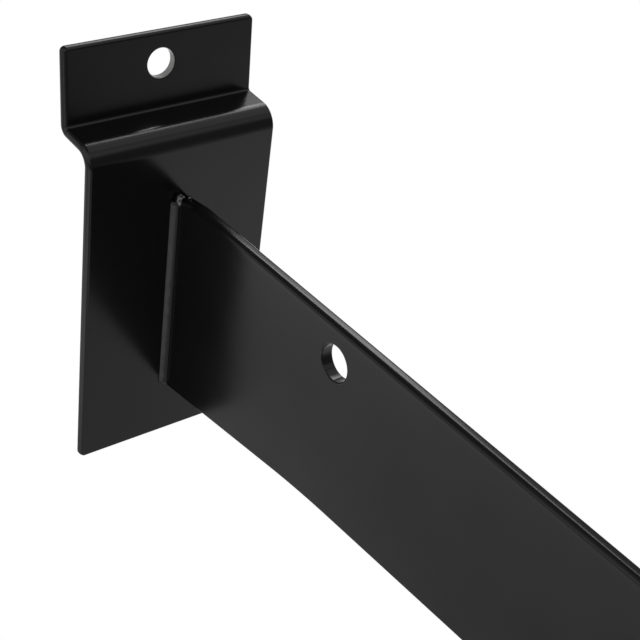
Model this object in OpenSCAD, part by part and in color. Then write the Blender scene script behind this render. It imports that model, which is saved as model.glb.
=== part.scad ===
// Shelf bracket for a slotted wall panel: a folded steel back plate, whose tongue hooks up
// behind the lip of a slot, and a tapered flat blade that is welded upright across its middle.
// X runs across the plate, +Y goes into the wall and +Z is up. The origin lies on the wall
// face of the plate, at mid-width, level with the blade's top edge, where the shelf rests.

/* [Back plate] */
// Width of the back plate
plate_w = 50; // [35:1:80]
// Thickness of the folded sheet
sheet_t = 2; // [1.5:0.1:3]
// Height of the plate below the shelf line
plate_drop = 70.8; // [62:0.1:110]
// Radius of the plate's four corners
plate_corner_r = 1.2; // [0.5:0.1:4]

/* [Fold] */
// Height of the ledge above the shelf line, at the root of the tongue
ledge_rise = 16; // [13:0.1:30]
// Clear depth for the panel's lip, from the wall face to the tongue
lip_gap = 9; // [7:0.5:14]
// Fall of the ledge towards the front, in degrees
ledge_slope = 4; // [0:1:10]
// Inside radius of the bend between tongue and ledge
tongue_bend_r = 0.7; // [0.5:0.1:2]
// Inside radius of the bend between ledge and plate
plate_bend_r = 3; // [1:0.1:4]

/* [Tongue] */
// Height of the tongue above the ledge
tongue_h = 18.7; // [16:0.1:24]
// Lean of the tongue into the wall, in degrees
tongue_lean = 4; // [0:1:8]
// Diameter of the screw hole in the tongue
tongue_hole_d = 7; // [4:0.1:8]
// Height of the screw hole above the ledge
tongue_hole_h = 11.1; // [9:0.1:11.5]

/* [Blade] */
// Length of the blade in front of the plate
blade_len = 300; // [180:5:400]
// Thickness of the blade
blade_t = 3; // [2:0.1:4]
// Height of the blade where it meets the plate
heel_h = 55.7; // [50:0.1:60]
// Dip of the blade's upper edge at the plate, which leaves room for the tack
dip_depth = 1.2; // [0.2:0.1:2]
// Distance over which the upper edge dips
dip_out = 9; // [4:0.5:30]
// Height of the blade where its taper eases
knee_h = 48.4; // [42:0.1:49]
// Height of the blade at its nose
nose_h = 36.4; // [24:0.1:41]
// Distance of the easing point from the plate
knee_out = 56; // [40:1:80]
// Radius that eases one taper into the other
knee_r = 270; // [100:10:300]
// Radius of the nose's two corners
nose_corner_r = 3; // [1:0.5:10]
// Diameter of the hole through the blade
blade_hole_d = 8.5; // [5:0.1:10]
// Distance of that hole from the plate
blade_hole_out = 62; // [30:1:120]
// Depth of that hole below the shelf line
blade_hole_drop = 9; // [8:0.1:20]

/* [Welds] */
// Leg length of the two weld beads
weld_leg = 1.6; // [1:0.1:2.5]
// Distance from the shelf line down to the beads
weld_top_gap = 2.2; // [2:0.1:8]
// Distance that the beads stop short of the blade's heel
weld_heel_gap = 0.3; // [0.1:0.1:5]
// Radius of the lump that the first tack left
tack_r = 1.4; // [1.2:0.1:2]
// Distance of the lump's middle from the plate
tack_out = 1.2; // [0.8:0.1:1.6]

/* [Hidden] */
$fn = 96;
coat = [0.07, 0.07, 0.075];
// How far a cutting solid reaches past what it cuts
over = 5;
// How far the circle of a rounded corner stands out of it, so that it crosses both faces
graze = 0.02;

// The two bends: how far the sheet turns, and where each bend is centred
tongue_turn = 90 - tongue_lean - ledge_slope;
plate_turn = 90 - ledge_slope;
plate_front_r = plate_bend_r + sheet_t;
tongue_root = [lip_gap, ledge_rise];
plate_root = [-sheet_t, ledge_rise - (lip_gap + sheet_t) * tan(ledge_slope)];
tongue_up = [sin(tongue_lean), cos(tongue_lean)];
tongue_back = [cos(tongue_lean), -sin(tongue_lean)];
tongue_tangent = tongue_bend_r * tan(tongue_turn / 2);
plate_tangent = plate_front_r * tan(plate_turn / 2);
tongue_bend_c = tongue_root + tongue_up * tongue_tangent - tongue_back * tongue_bend_r;
plate_bend_c = plate_root + [plate_front_r, -plate_tangent];
// How many straight steps stand for each bend, and for the easing of the blade's lower edge
bend_steps = 20;
ease_steps = 12;

// The blade's lower edge: its two slopes and the arc between them, which turns either way
steep = atan((heel_h - knee_h) / knee_out);
gentle = atan((knee_h - nose_h) / (blade_len - knee_out));
ease_r = steep < gentle ? -knee_r : knee_r;
ease_tangent = ease_r * tan((steep - gentle) / 2);
ease_start = [knee_out, -knee_h] - ease_tangent * [cos(steep), sin(steep)];
ease_c = ease_start + ease_r * [sin(steep), -cos(steep)];

// A weld bead's round section is centred inside the joint, so that its face is nearly flat
bead_r = norm([2 * weld_leg, weld_leg]);
bead_len = heel_h - weld_heel_gap - weld_top_gap;
// How far the tack's middle lies inside the blade's left face
tack_aside = 0.3;

// Points on an arc about a centre, from one direction through a turn
function arc(centre, r, start, turn) =
    [for (i = [0 : bend_steps]) let (a = start + turn * i / bend_steps) centre + r * [cos(a), sin(a)]];

// One surface of the sheet from the tongue's top to the plate's foot, at a depth behind its front
function sheet_side(depth) = concat(
    [tongue_root + tongue_up * tongue_h + tongue_back * depth],
    arc(tongue_bend_c, tongue_bend_r + depth, -tongue_lean, -tongue_turn),
    arc(plate_bend_c, plate_front_r - depth, 90 + ledge_slope, plate_turn),
    [[depth - sheet_t, -plate_drop]]
);

function backwards(points) = [for (i = [len(points) - 1 : -1 : 0]) points[i]];

// The folded sheet seen from its side: tongue, ledge and plate with their two bends
module fold_profile() {
    polygon(concat(sheet_side(0), backwards(sheet_side(sheet_t))));
}

// A profile drawn in Y and Z, stood up and given a width along X
module across(width) {
    rotate([90, 0, 90])
        linear_extrude(height = width, center = true)
            children();
}

// What is cut away to round the corner at the origin, which points to +X and +Z
module corner_cut(r) {
    rotate([90, 0, 0])
        linear_extrude(height = 2 * over + sheet_t, center = true)
            difference() {
                translate([-r, -r]) square(r + over);
                translate([graze - r, graze - r]) circle(r = r);
            }
}

// Places a child at the tongue's root, in the tongue's own leaning frame
module on_tongue() {
    translate([0, tongue_root[0], tongue_root[1]])
        rotate([-tongue_lean, 0, 0])
            children();
}

module back_plate() {
    color(coat)
        difference() {
            across(plate_w) fold_profile();
            on_tongue() {
                translate([0, 0, tongue_hole_h])
                    rotate([90, 0, 0])
                        cylinder(d = tongue_hole_d, h = 2 * over + sheet_t, center = true);
                for (side = [0, 1])
                    mirror([side, 0, 0])
                        translate([plate_w / 2, 0, tongue_h]) corner_cut(plate_corner_r);
            }
            for (side = [0, 1])
                mirror([side, 0, 0])
                    translate([plate_w / 2, -sheet_t / 2, -plate_drop])
                        mirror([0, 0, 1]) corner_cut(plate_corner_r);
        }
}

// The blade seen from its side, drawn outwards from the plate
module blade_profile() {
    difference() {
        polygon(concat(
            [[0, -dip_depth], [dip_out, 0], [blade_len, 0], [blade_len, -nose_h]],
            [for (i = [ease_steps : -1 : 0])
                let (a = 90 + steep - (steep - gentle) * i / ease_steps)
                ease_c + ease_r * [cos(a), sin(a)]],
            [[0, -heel_h]]
        ));
        translate([blade_hole_out, -blade_hole_drop]) circle(d = blade_hole_d);
        translate([blade_len, 0]) nose_corner(90);
        translate([blade_len, -nose_h]) mirror([0, 1]) nose_corner(90 - gentle);
    }
}

// What is cut away to round a nose corner of the given angle, at the origin
module nose_corner(angle) {
    in = nose_corner_r / tan(angle / 2);
    difference() {
        translate([-in, -in]) square(in + over);
        translate([-nose_corner_r, -in]) circle(r = nose_corner_r);
        translate([-in - over, -in - over]) square([over + in - nose_corner_r, in + 2 * over]);
    }
}

module blade() {
    color(coat)
        translate([0, -sheet_t, 0])
            mirror([0, 1, 0])
                across(blade_t) blade_profile();
}

// A weld bead in the joint's corner, which is the Z axis here, on its -X and -Y side
module bead() {
    translate([0, 0, -weld_top_gap - bead_len])
        linear_extrude(height = bead_len)
            intersection() {
                translate([weld_leg, weld_leg]) circle(r = bead_r);
                translate([-over, -over]) square(over);
            }
}

module weld_left() {
    color(coat)
        translate([-blade_t / 2, -sheet_t, 0]) bead();
}

module weld_right() {
    color(coat)
        mirror([1, 0, 0])
            translate([-blade_t / 2, -sheet_t, 0]) bead();
}

// The lump that the tack left on the left corner of the blade's dip, level with the shelf line
module tack_weld() {
    color(coat)
        difference() {
            translate([tack_aside - blade_t / 2, -sheet_t - tack_out, -tack_r]) sphere(r = tack_r);
            translate([-over, -sheet_t, -over]) cube(2 * over);
            blade();
            weld_left();
        }
}

back_plate();
blade();
weld_left();
weld_right();
tack_weld();
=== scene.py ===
"""Looks of the slotted-wall shelf bracket, in metres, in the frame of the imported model."""
import math

import bmesh
import bpy
from mathutils import Matrix, Vector, noise as wobble
from mathutils.geometry import tessellate_polygon


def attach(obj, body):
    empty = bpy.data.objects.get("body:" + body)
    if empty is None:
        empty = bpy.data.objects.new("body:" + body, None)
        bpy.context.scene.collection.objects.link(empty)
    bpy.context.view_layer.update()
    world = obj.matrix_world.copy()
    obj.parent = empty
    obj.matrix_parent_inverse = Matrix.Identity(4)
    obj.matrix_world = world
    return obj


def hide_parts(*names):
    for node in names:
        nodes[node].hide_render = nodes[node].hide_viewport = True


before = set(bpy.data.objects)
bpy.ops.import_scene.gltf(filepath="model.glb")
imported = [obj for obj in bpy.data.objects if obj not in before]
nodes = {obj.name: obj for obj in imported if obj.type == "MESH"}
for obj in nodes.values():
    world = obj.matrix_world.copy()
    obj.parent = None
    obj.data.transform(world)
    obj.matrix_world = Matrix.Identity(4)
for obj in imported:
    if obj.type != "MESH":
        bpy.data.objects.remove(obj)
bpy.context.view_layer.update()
scene = bpy.context.scene

FLOOR_Z = -0.60          # the pale floor, well below the bracket, which hangs on a wall
MM = 0.001

# The sizes of part.scad that the dressed pieces repeat, in millimetres
SHEET, PLATE_W, PLATE_DROP, PLATE_CORNER = 2.0, 50.0, 70.8, 1.2
LEDGE_RISE, LIP_GAP, LEDGE_SLOPE = 16.0, 9.0, math.radians(4)
TONGUE_H, TONGUE_LEAN, TONGUE_BEND, PLATE_BEND = 18.7, math.radians(4), 0.7, 3.0
TONGUE_HOLE_H, TONGUE_HOLE_R = 11.1, 3.5
BLADE_LEN, BLADE_T, HEEL_H, KNEE_H, NOSE_H, KNEE_OUT, KNEE_R = 300.0, 3.0, 55.7, 48.4, 36.4, 56.0, 270.0
DIP_DEPTH, DIP_OUT, NOSE_CORNER = 1.2, 9.0, 3.0
BLADE_HOLE = (62.0, -9.0, 4.25)
WELD_LEG, WELD_TOP, WELD_END = 1.6, -2.2, -55.4

# How far each edge is rounded under its coat: across the face, and down the edge
PLATE_SOFT, PLATE_TOP, PLATE_CRISP, PLATE_REAR = (1.15, 1.40), (0.90, 1.10), (0.30, 0.30), (0.60, 0.60)
BLADE_TOP, BLADE_FAR, BLADE_LOW = (1.20, 1.30), (0.80, 0.80), (0.30, 0.30)
HOLE_FRONT, HOLE_REAR = (0.40, 0.40), (0.20, 0.20)
EDGE_STEPS, CORNER_STEPS = 8, 6
FRAME_PX = 640.0         # the photograph's side, in pixels


def tree_of(material):
    """An empty node tree with a Principled shader on the output."""
    material.use_nodes = True
    tree = material.node_tree
    tree.nodes.clear()
    shader = tree.nodes.new("ShaderNodeBsdfPrincipled")
    out = tree.nodes.new("ShaderNodeOutputMaterial")
    tree.links.new(shader.outputs["BSDF"], out.inputs["Surface"])
    return tree, shader


def noise(tree, where, scale, detail=3.0, rough=0.5):
    node = tree.nodes.new("ShaderNodeTexNoise")
    node.inputs["Scale"].default_value = scale
    node.inputs["Detail"].default_value = detail
    node.inputs["Roughness"].default_value = rough
    tree.links.new(where, node.inputs["Vector"])
    return node.outputs["Fac"]


def ranged(tree, value, low, high, start=0.0, end=1.0):
    """Maps start..end of a value onto low..high."""
    node = tree.nodes.new("ShaderNodeMapRange")
    for name, number in (("From Min", start), ("From Max", end), ("To Min", low), ("To Max", high)):
        node.inputs[name].default_value = number
    tree.links.new(value, node.inputs["Value"])
    return node.outputs["Result"]


def bump(tree, shader, height, strength, distance, before=None):
    node = tree.nodes.new("ShaderNodeBump")
    node.inputs["Strength"].default_value = strength
    node.inputs["Distance"].default_value = distance
    tree.links.new(height, node.inputs["Height"])
    if before is not None:
        tree.links.new(before, node.inputs["Normal"])
    return node.outputs["Normal"]


def mixed(tree, factor, first, second):
    node = tree.nodes.new("ShaderNodeMix")
    node.data_type = "RGBA"
    node.inputs["A"].default_value = (*first, 1.0)
    node.inputs["B"].default_value = (*second, 1.0)
    tree.links.new(factor, node.inputs["Factor"])
    return node.outputs["Result"]


def product(tree, first, second):
    node = tree.nodes.new("ShaderNodeMath")
    node.operation = "MULTIPLY"
    tree.links.new(first, node.inputs[0])
    tree.links.new(second, node.inputs[1])
    return node.outputs["Value"]


def hole_wall_highlight(tree, place):
    """1 on the wall of the tongue's hole, where a lighter tone is painted on as a painted highlight."""
    flat = tree.nodes.new("ShaderNodeVectorMath")
    flat.operation = "MULTIPLY"
    flat.inputs[1].default_value = (1.0, 0.0, 1.0)
    tree.links.new(place, flat.inputs[0])
    away = tree.nodes.new("ShaderNodeVectorMath")
    away.operation = "DISTANCE"
    away.inputs[1].default_value = (0.0, 0.0, 0.0270)
    tree.links.new(flat.outputs["Vector"], away.inputs[0])
    return ranged(tree, away.outputs["Value"], 1.0, 0.0, 0.00354, 0.00368)


def black_coat(name, rough_low, rough_high, wave, ior=1.36, highlight_mask=None, highlight_tone=None):
    """Satin black powder coat: a fine grain, a slow waviness and faint changes of tone. The optional mask and
    tone add a lighter colour where the mask is 1, as a painted highlight."""
    material = bpy.data.materials.new(name)
    tree, shader = tree_of(material)
    place = tree.nodes.new("ShaderNodeTexCoord").outputs["Object"]
    cloud = noise(tree, place, 38.0, 3.0)
    grain = noise(tree, place, 4200.0, 2.0)
    orange_peel = noise(tree, place, 900.0, 2.0, 0.4)
    tone = mixed(tree, cloud, (0.0024, 0.0024, 0.0026), (0.0040, 0.0040, 0.0041))
    if highlight_mask is not None:
        # Painted highlight: the lighter tone is added on the masked places.
        painted_highlight = mixed(tree, highlight_mask(tree, place), (0.0, 0.0, 0.0), highlight_tone)
        both = tree.nodes.new("ShaderNodeMix")
        both.data_type = "RGBA"
        both.blend_type = "ADD"
        both.inputs["Factor"].default_value = 1.0
        tree.links.new(tone, both.inputs["A"])
        tree.links.new(painted_highlight, both.inputs["B"])
        tone = both.outputs["Result"]
    tree.links.new(tone, shader.inputs["Base Color"])
    tree.links.new(ranged(tree, cloud, rough_low, rough_high, 0.3, 0.7), shader.inputs["Roughness"])
    first = bump(tree, shader, orange_peel, 0.5, wave)
    tree.links.new(bump(tree, shader, grain, 0.2, 0.000004, first), shader.inputs["Normal"])
    shader.inputs["IOR"].default_value = ior
    return material


def turned(centre, radius, start, turn, steps):
    """Points on an arc about a centre."""
    return [(centre[0] + radius * math.cos(start + turn * i / steps),
             centre[1] + radius * math.sin(start + turn * i / steps)) for i in range(steps + 1)]


def rolled(front, rear, thick, steps=EDGE_STEPS):
    """(inset, depth) through a sheet's edge, from the front face over both roundings to the rear."""
    def half(inset, depth):
        return [(inset * (1 - math.sin(a)), depth * (1 - math.cos(a)))
                for a in (math.pi / 2 * i / steps for i in range(steps + 1))]
    return half(*front) + [(inset, thick - depth) for inset, depth in reversed(half(*rear))]


def slab(name, rings, cells, hole, place, thick):
    """A sheet with rounded edges. rings are its outlines of (a, b, depth), from the front face to the
    rear. cells are the indices round each flat or strip; the hole (a, b, radius) is in the first."""
    verts, faces = [], []

    def loop(points):
        verts.extend(place(*point) for point in points)
        return list(range(len(verts) - len(points), len(verts)))

    def wall(loops):
        for first, second in zip(loops, loops[1:]):
            n = len(first)
            faces.extend((first[i], first[(i + 1) % n], second[(i + 1) % n], second[i]) for i in range(n))

    outer = [loop(ring) for ring in rings]
    wall(outer)
    a, b, r = hole
    inner = [loop([(*p, depth) for p in turned((a, b), r + inset, 0.0, 2 * math.pi, 64)[:-1]])
             for inset, depth in rolled(HOLE_FRONT, HOLE_REAR, thick, 4)]
    wall(inner)
    for side in (0, -1):
        for number, cell in enumerate(cells):
            loops = [[outer[side][i] for i in cell]] + ([inner[side]] if number == 0 else [])
            flat = [[Vector(verts[i]) for i in one] for one in loops]
            order = [i for one in loops for i in one]
            faces.extend(tuple(order[i] for i in three) for three in tessellate_polygon(flat))
    return solid(name, verts, faces)


def solid(name, verts, faces):
    """A closed smooth mesh whose normals follow its larger faces."""
    mesh = bpy.data.meshes.new(name)
    mesh.from_pydata([Vector(v) * MM for v in verts], [], faces)
    work = bmesh.new()
    work.from_mesh(mesh)
    bmesh.ops.remove_doubles(work, verts=work.verts, dist=1e-7)
    bmesh.ops.recalc_face_normals(work, faces=work.faces)
    work.to_mesh(mesh)
    work.free()
    for face in mesh.polygons:
        face.use_smooth = True
    piece = bpy.data.objects.new(name, mesh)
    scene.collection.objects.link(piece)
    weigh = piece.modifiers.new("flats_stay_flat", "WEIGHTED_NORMAL")
    weigh.weight = 100
    return piece


def fold():
    """(distance along the sheet, front point, rear point) from the tongue's top to the plate's foot."""
    up = Vector((math.sin(TONGUE_LEAN), math.cos(TONGUE_LEAN)))
    back = Vector((math.cos(TONGUE_LEAN), -math.sin(TONGUE_LEAN)))
    tongue_turn = math.pi / 2 - TONGUE_LEAN - LEDGE_SLOPE
    plate_turn = math.pi / 2 - LEDGE_SLOPE
    front_r = PLATE_BEND + SHEET
    root = Vector((LIP_GAP, LEDGE_RISE))
    corner = Vector((-SHEET, LEDGE_RISE - (LIP_GAP + SHEET) * math.tan(LEDGE_SLOPE)))
    first_c = root + up * TONGUE_BEND * math.tan(tongue_turn / 2) - back * TONGUE_BEND
    second_c = corner + Vector((front_r, -front_r * math.tan(plate_turn / 2)))
    top = root + up * TONGUE_H
    pairs = [(top, top + back * SHEET)]
    for centre, front, rear, start, turn, steps in (
            (first_c, TONGUE_BEND, TONGUE_BEND + SHEET, -TONGUE_LEAN, -tongue_turn, 16),
            (second_c, front_r, PLATE_BEND, math.pi / 2 + LEDGE_SLOPE, plate_turn, 24)):
        pairs += zip(map(Vector, turned(centre, front, start, turn, steps)),
                     map(Vector, turned(centre, rear, start, turn, steps)))
    pairs.append((Vector((-SHEET, -PLATE_DROP)), Vector((0.0, -PLATE_DROP))))
    along, out = 0.0, [(0.0, *pairs[0])]
    for (f0, r0), (f1, r1) in zip(pairs, pairs[1:]):
        along += ((f1 + r1) / 2 - (f0 + r0) / 2).length
        out.append((along, f1, r1))
    return out


def plate_piece():
    line = fold()
    length, half = line[-1][0], PLATE_W / 2
    bends = [s for s, _, _ in line[1:-1]]

    def place(x, s, depth):
        k = next(i for i in range(1, len(line)) if s <= line[i][0] + 1e-9)
        (s0, f0, r0), (s1, f1, r1) = line[k - 1], line[k]
        t = (s - s0) / (s1 - s0)
        front, rear = f0.lerp(f1, t), r0.lerp(r1, t)
        y, z = front.lerp(rear, depth / SHEET)
        return x, y, z

    left_edge, top_edge, crisp = (rolled(front, PLATE_REAR, SHEET)
                                  for front in (PLATE_SOFT, PLATE_TOP, PLATE_CRISP))

    def ring(left, top, right, foot):
        def corner(x, s, upright, level, start, swapped):
            out = []
            for j in range(CORNER_STEPS + 1):
                a, t = start - math.pi / 2 * j / CORNER_STEPS, j / CORNER_STEPS
                t = 1 - t if swapped else t
                out.append((x + (PLATE_CORNER - upright[0]) * math.cos(a), s + (PLATE_CORNER - level[0]) * math.sin(a),
                            level[1] + (upright[1] - level[1]) * t))
            return out
        near, far, q = half - PLATE_CORNER, length - PLATE_CORNER, math.pi / 2
        return (corner(-near, PLATE_CORNER, left, top, 3 * q, False) + [(left[0] - half, s, left[1]) for s in bends]
                + corner(-near, far, left, foot, 2 * q, True) + corner(near, far, right, foot, q, False)
                + [(half - right[0], s, right[1]) for s in reversed(bends)]
                + corner(near, PLATE_CORNER, right, top, 0.0, True))

    rings = [ring(*edges) for edges in zip(left_edge, top_edge, crisp, crisp)]
    n, m, k = len(bends), len(rings[0]), CORNER_STEPS + 1
    left = list(range(k, k + n))
    right = [left[-1] + 2 * k + n - i for i in range(n)]
    tongue = list(range(0, k + 1)) + list(range(right[0], m))
    foot = list(range(left[-1], right[-1] + 1))
    strips = [[left[i], left[i + 1], right[i + 1], right[i]] for i in range(n - 1)]
    hole = (0.0, TONGUE_H - TONGUE_HOLE_H, TONGUE_HOLE_R)
    return slab("back_plate_coated", rings, [tongue, foot] + strips, hole, place, SHEET)


def blade_outline():
    """The blade's side view, outwards from the plate: (distance out, height) with each corner's inset way."""
    steep = math.atan((HEEL_H - KNEE_H) / KNEE_OUT)
    gentle = math.atan((KNEE_H - NOSE_H) / (BLADE_LEN - KNEE_OUT))
    tangent = KNEE_R * math.tan((steep - gentle) / 2)
    centre = (KNEE_OUT - tangent * math.cos(steep) + KNEE_R * math.sin(steep),
              -KNEE_H - tangent * math.sin(steep) - KNEE_R * math.cos(steep))
    knee = turned(centre, KNEE_R, math.pi / 2 + steep, gentle - steep, 16)
    r, low = NOSE_CORNER, math.pi / 2 - gentle
    nose_c = (BLADE_LEN - r, -NOSE_H - r * math.tan(gentle) + r / math.cos(gentle))
    nose = turned(nose_c, r, -low, low, 10)
    brow = turned((BLADE_LEN - r, -r), r, 0.0, math.pi / 2, 10)
    return [(0.0, -HEEL_H)] + knee + nose + brow + [(DIP_OUT, 0.0), (0.0, -DIP_DEPTH)]


def blade_piece():
    points = [Vector(p) for p in blade_outline()]
    upper, lower = rolled(BLADE_TOP, BLADE_FAR, BLADE_T), rolled(BLADE_LOW, BLADE_LOW, BLADE_T)

    def ring(top, low):
        out = []
        for i, p in enumerate(points):
            before, after = (p - points[i - 1]).normalized(), (points[(i + 1) % len(points)] - p).normalized()
            if i == 0:
                before = after
            if i == len(points) - 1:
                after = before
            inset, depth = low if p.y < -NOSE_H / 2 else top
            way = (Vector((-before.y, before.x)) + Vector((-after.y, after.x))).normalized()
            q = p + way * inset / max(0.5, way.dot(Vector((-after.y, after.x))))
            if i in (0, len(points) - 1):
                q = Vector((0.0, p.y + (inset if i == 0 else -inset)))
            out.append((q.x, q.y, depth))
        return out

    def place(out, z, depth):
        return depth - BLADE_T / 2, -SHEET - out, z

    rings = [ring(top, low) for top, low in zip(upper, lower)]
    return slab("blade_coated", rings, [list(range(len(points)))], BLADE_HOLE, place, BLADE_T)


def bead_piece(name, side, seed):
    """A smooth, slightly uneven weld bead with rounded ends. side is -1 for the left joint, 1 for the right."""
    across, gap = 10, 0.25
    count = round((WELD_TOP - WELD_END) / gap)
    far = math.hypot(2 * WELD_LEG, WELD_LEG)
    first = math.atan2(-WELD_LEG, -2 * WELD_LEG)
    spread = math.atan2(-2 * WELD_LEG, -WELD_LEG) - first
    verts, faces = [], []
    for k in range(count + 1):
        z = WELD_TOP + (WELD_END - WELD_TOP) * k / count
        near_end = min(k, count - k) * gap
        drawn = 1.0 if near_end > 0.7 else math.sqrt(1 - (1 - near_end / 0.7) ** 2) * 0.45 + 0.55
        size = drawn * (1 + 0.035 * wobble.noise((seed, 0.4 * z, 0.0)) + 0.02 * wobble.noise((seed, 1.5 * z, 3.0)))
        start = len(verts)
        verts.append((side * BLADE_T / 2, -SHEET, z))
        for i in range(across + 1):
            a = first + spread * i / across
            x = max(0.0, -(WELD_LEG + far * math.cos(a))) * size
            y = max(0.0, -(WELD_LEG + far * math.sin(a))) * size
            verts.append((side * (BLADE_T / 2 + x), -SHEET - y, z))
        n = across + 2
        if k:
            faces += [(start - n + i, start - n + (i + 1) % n, start + (i + 1) % n, start + i) for i in range(n)]
    faces += [tuple(range(n)), tuple(range(len(verts) - n, len(verts)))]
    return solid(name, verts, faces)


def tack_piece():
    """The lump of the first tack: a glossy, uneven blob with a short drip, and a bead beside it."""
    rows, around = 20, 32
    verts, faces = [], []
    for centre, radius, drip, seed in (((0.3 - BLADE_T / 2, -3.2, -1.4), 1.22, 0.55, 4.0),
                                       ((0.35, -4.7, -0.75), 0.42, 0.0, 9.0)):
        start = len(verts)
        for i in range(rows + 1):
            for j in range(around):
                up, turn = math.pi * i / rows, 2 * math.pi * j / around
                way = Vector((math.sin(up) * math.cos(turn), math.sin(up) * math.sin(turn), math.cos(up)))
                lump = radius * (1 + 0.22 * wobble.noise(way * 1.4 + Vector((seed, 0, 0))))
                fall = drip * max(0.0, way.dot(Vector((-0.35, -0.45, -0.82)))) ** 10
                verts.append(Vector(centre) + way * (lump + fall))
        for i in range(rows):
            for j in range(around):
                k = start + i * around
                faces.append((k + j, k + (j + 1) % around, k + around + (j + 1) % around, k + around + j))
    return solid("tack_weld_coated", verts, faces)


def dress():
    coat = black_coat("black_coat", 0.19, 0.23, 0.000004)
    # The plate's coat has a lighter tone painted on the wall of the tongue's hole, as a painted highlight.
    plate = black_coat("black_coat_plate", 0.19, 0.23, 0.000004, 1.36, hole_wall_highlight, (0.24, 0.24, 0.235))
    weld = black_coat("black_coat_weld", 0.20, 0.26, 0.000008)
    tack = black_coat("black_coat_tack", 0.10, 0.18, 0.00010, 1.8)
    for node in nodes.values():
        node.data.materials.clear()
        node.data.materials.append(coat)
    pieces = ((plate_piece(), "back_plate", plate), (blade_piece(), "blade", coat),
              (bead_piece("weld_left_coated", -1, 2.0), "weld_left", weld),
              (bead_piece("weld_right_coated", 1, 7.0), "weld_right", weld),
              (tack_piece(), "tack_weld", tack))
    for piece, node, material in pieces:
        piece.data.materials.append(material)
        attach(piece, "root")
        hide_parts(node)


def plainly_seen(tree, reflected, plain, out):
    """Shows a camera plain white, and everything else the lit surface."""
    plain.inputs["Color"].default_value = (1.0, 1.0, 1.0, 1.0)
    plain.inputs["Strength"].default_value = 1.0
    either = tree.nodes.new("ShaderNodeMixShader")
    tree.links.new(tree.nodes.new("ShaderNodeLightPath").outputs["Is Camera Ray"], either.inputs["Fac"])
    tree.links.new(reflected, either.inputs[1])
    tree.links.new(plain.outputs[0], either.inputs[2])
    tree.links.new(either.outputs["Shader"], out.inputs["Surface"])


def floor():
    """A white table that glows as a light, bright beneath and behind the bracket, dimmer towards the front right."""
    size = 8.0
    mesh = bpy.data.meshes.new("floor")
    mesh.from_pydata([(-size, -size, FLOOR_Z), (size, -size, FLOOR_Z), (size, size, FLOOR_Z), (-size, size, FLOOR_Z)],
                     [], [(0, 1, 2, 3)])
    plane = bpy.data.objects.new("floor", mesh)
    scene.collection.objects.link(plane)
    material = bpy.data.materials.new("floor_paper")
    tree, shader = tree_of(material)
    place = tree.nodes.new("ShaderNodeTexCoord").outputs["Object"]
    tree.links.new(mixed(tree, noise(tree, place, 2.0), (0.44, 0.44, 0.44), (0.46, 0.46, 0.46)),
                   shader.inputs["Base Color"])
    shader.inputs["Roughness"].default_value = 0.9
    shader.inputs["Specular IOR Level"].default_value = 0.0
    shader.inputs["Emission Color"].default_value = (1.0, 1.0, 1.0, 1.0)
    axes = tree.nodes.new("ShaderNodeSeparateXYZ")
    tree.links.new(place, axes.inputs["Vector"])
    x, y = axes.outputs["X"], axes.outputs["Y"]

    def joined(operation, first, second):
        node = tree.nodes.new("ShaderNodeMath")
        node.operation = operation
        tree.links.new(first, node.inputs[0])
        tree.links.new(second, node.inputs[1])
        return node.outputs["Value"]

    table = joined("ADD", ranged(tree, x, 1.85, 0.20, -0.80, -0.52), ranged(tree, x, 0.0, 0.85, -0.45, -0.10))
    table = joined("SUBTRACT", table, ranged(tree, x, 1.3, 0.0, -1.05, -0.85))
    table = joined("MULTIPLY", table, ranged(tree, y, 0.0, 0.72, -1.35, -0.90))
    rear = joined("MULTIPLY", ranged(tree, x, 0.0, 1.0, 0.0, 0.3), ranged(tree, y, 0.0, 0.30, 0.5, 1.3))
    left = joined("MULTIPLY", ranged(tree, x, 0.60, 0.0, -0.62, -0.51), ranged(tree, y, 1.0, 0.0, -0.35, 0.05))
    left = joined("MULTIPLY", left, ranged(tree, y, 0.0, 1.0, -0.85, -0.65))
    right = joined("MULTIPLY", ranged(tree, x, 0.0, 0.35, 0.80, 1.0), ranged(tree, y, 1.0, 0.0, -1.3, -1.0))
    right = joined("MULTIPLY", right, ranged(tree, y, 0.0, 1.0, -2.3, -1.8))
    dim = joined("MULTIPLY", ranged(tree, x, 0.45, 0.0, 0.38, 0.55), ranged(tree, y, 1.0, 0.0, -0.35, 0.0))
    dim = joined("MULTIPLY", dim, ranged(tree, x, 0.0, 1.0, -0.10, 0.20))
    lit = joined("ADD", joined("ADD", table, right), joined("ADD", rear, left))
    floored = tree.nodes.new("ShaderNodeMath")
    floored.operation = "MAXIMUM"
    floored.inputs[1].default_value = 0.0
    tree.links.new(joined("SUBTRACT", lit, dim), floored.inputs[0])
    tree.links.new(floored.outputs["Value"], shader.inputs["Emission Strength"])
    plainly_seen(tree, shader.outputs["BSDF"], tree.nodes.new("ShaderNodeEmission"), tree.nodes["Material Output"])
    mesh.materials.append(material)


def camera():
    data = bpy.data.cameras.new("photo_camera")
    cam = bpy.data.objects.new("photo_camera", data)
    scene.collection.objects.link(cam)
    right = Vector((0.791802, -0.599550, 0.116568))
    down = Vector((-0.264203, -0.508286, -0.819659))
    ahead = Vector((0.550677, 0.618210, -0.560866))
    turn = Matrix((right, -down, -ahead)).transposed()
    cam.matrix_world = Matrix.Translation((-0.164635, -0.240985, 0.164437)) @ turn.to_4x4()
    data.sensor_width = 36.0
    data.lens = 1421.763 / FRAME_PX * data.sensor_width
    data.clip_start = 0.01
    data.clip_end = 50.0
    scene.camera = cam


def area_light(name, place, aim, size, power, size_y=None):
    data = bpy.data.lights.new(name, "AREA")
    data.shape = "RECTANGLE"
    data.size = size
    data.size_y = size_y or size
    data.energy = power
    light = bpy.data.objects.new(name, data)
    scene.collection.objects.link(light)
    light.location = place
    light.rotation_mode = "QUATERNION"
    light.rotation_quaternion = (Vector(aim) - Vector(place)).to_track_quat("-Z", "Y")
    light.visible_camera = False
    return light


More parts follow.
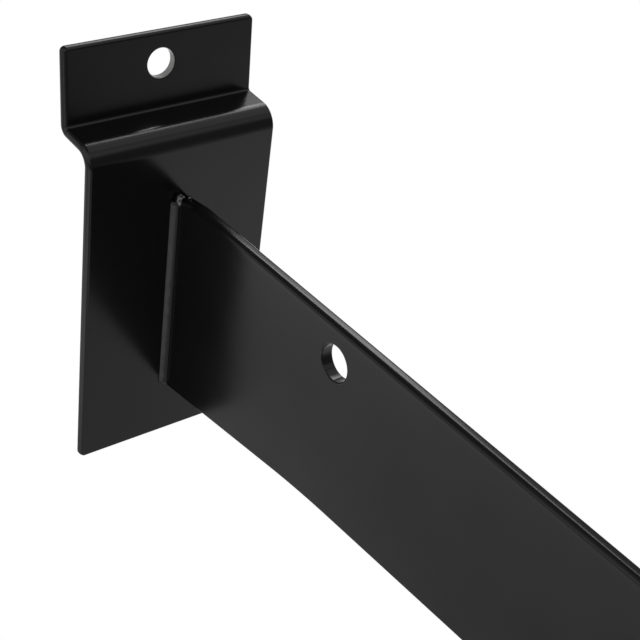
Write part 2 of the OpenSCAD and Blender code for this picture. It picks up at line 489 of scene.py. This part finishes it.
def studio():
    """Soft boxes behind and above on the right, in a dim room whose far wall is pale low down."""
    area_light("back_box", (0.557, 0.746, 0.787), (0.0, -0.05, 0.0), 0.50, 2.5, 0.24)
    area_light("middle_box", (0.578, 0.471, 0.978), (0.0, 0.0, 0.0), 0.26, 1.2, 0.28)
    area_light("top_box", (0.62, 0.00, 1.05), (0.0, -0.05, 0.0), 0.90, 1.1, 0.50)
    world = bpy.data.worlds.new("studio")
    scene.world = world
    world.use_nodes = True
    tree = world.node_tree
    room = tree.nodes["Background"]
    room.inputs["Color"].default_value = (1.0, 1.0, 1.0, 1.0)
    axes = tree.nodes.new("ShaderNodeSeparateXYZ")
    tree.links.new(tree.nodes.new("ShaderNodeTexCoord").outputs["Generated"], axes.inputs["Vector"])
    behind = tree.nodes.new("ShaderNodeMath")
    behind.operation = "MULTIPLY_ADD"
    tree.links.new(axes.outputs["X"], behind.inputs[0])
    behind.inputs[1].default_value = -0.5
    tree.links.new(axes.outputs["Y"], behind.inputs[2])
    wall = tree.nodes.new("ShaderNodeMath")
    wall.operation = "MULTIPLY_ADD"
    tree.links.new(ranged(tree, behind.outputs["Value"], 0.0, 1.0, 0.25, 0.50), wall.inputs[0])
    tree.links.new(ranged(tree, axes.outputs["Z"], 0.6, 0.0, 0.30, 0.45), wall.inputs[1])
    wall.inputs[2].default_value = 0.2
    aside = product(tree, ranged(tree, axes.outputs["X"], 1.0, 0.0, -0.60, -0.30),
                    ranged(tree, axes.outputs["Y"], 0.8, 0.0, 0.30, 0.50))
    aside = product(tree, aside, ranged(tree, axes.outputs["Z"], 0.0, 1.0, -0.05, 0.10))
    facing = product(tree, ranged(tree, axes.outputs["X"], 0.0, 1.0, 0.66, 0.80),
                     ranged(tree, axes.outputs["Y"], 0.8, 0.0, 0.20, 0.45))
    sides = tree.nodes.new("ShaderNodeMath")
    sides.operation = "ADD"
    tree.links.new(aside, sides.inputs[0])
    tree.links.new(facing, sides.inputs[1])
    round_about = tree.nodes.new("ShaderNodeMath")
    round_about.operation = "ADD"
    tree.links.new(sides.outputs["Value"], round_about.inputs[0])
    tree.links.new(wall.outputs["Value"], round_about.inputs[1])
    front = tree.nodes.new("ShaderNodeMath")
    front.operation = "MULTIPLY_ADD"
    tree.links.new(ranged(tree, axes.outputs["Y"], 1.0, 0.0, -0.60, -0.20), front.inputs[0])
    tree.links.new(ranged(tree, axes.outputs["Z"], 0.0, 0.8, 0.44, 0.62), front.inputs[1])
    tree.links.new(round_about.outputs["Value"], front.inputs[2])
    tree.links.new(front.outputs["Value"], room.inputs["Strength"])
    plainly_seen(tree, room.outputs["Background"], tree.nodes.new("ShaderNodeBackground"),
                 tree.nodes["World Output"])
    scene.view_settings.view_transform = "Standard"


dress()
floor()
camera()
studio()
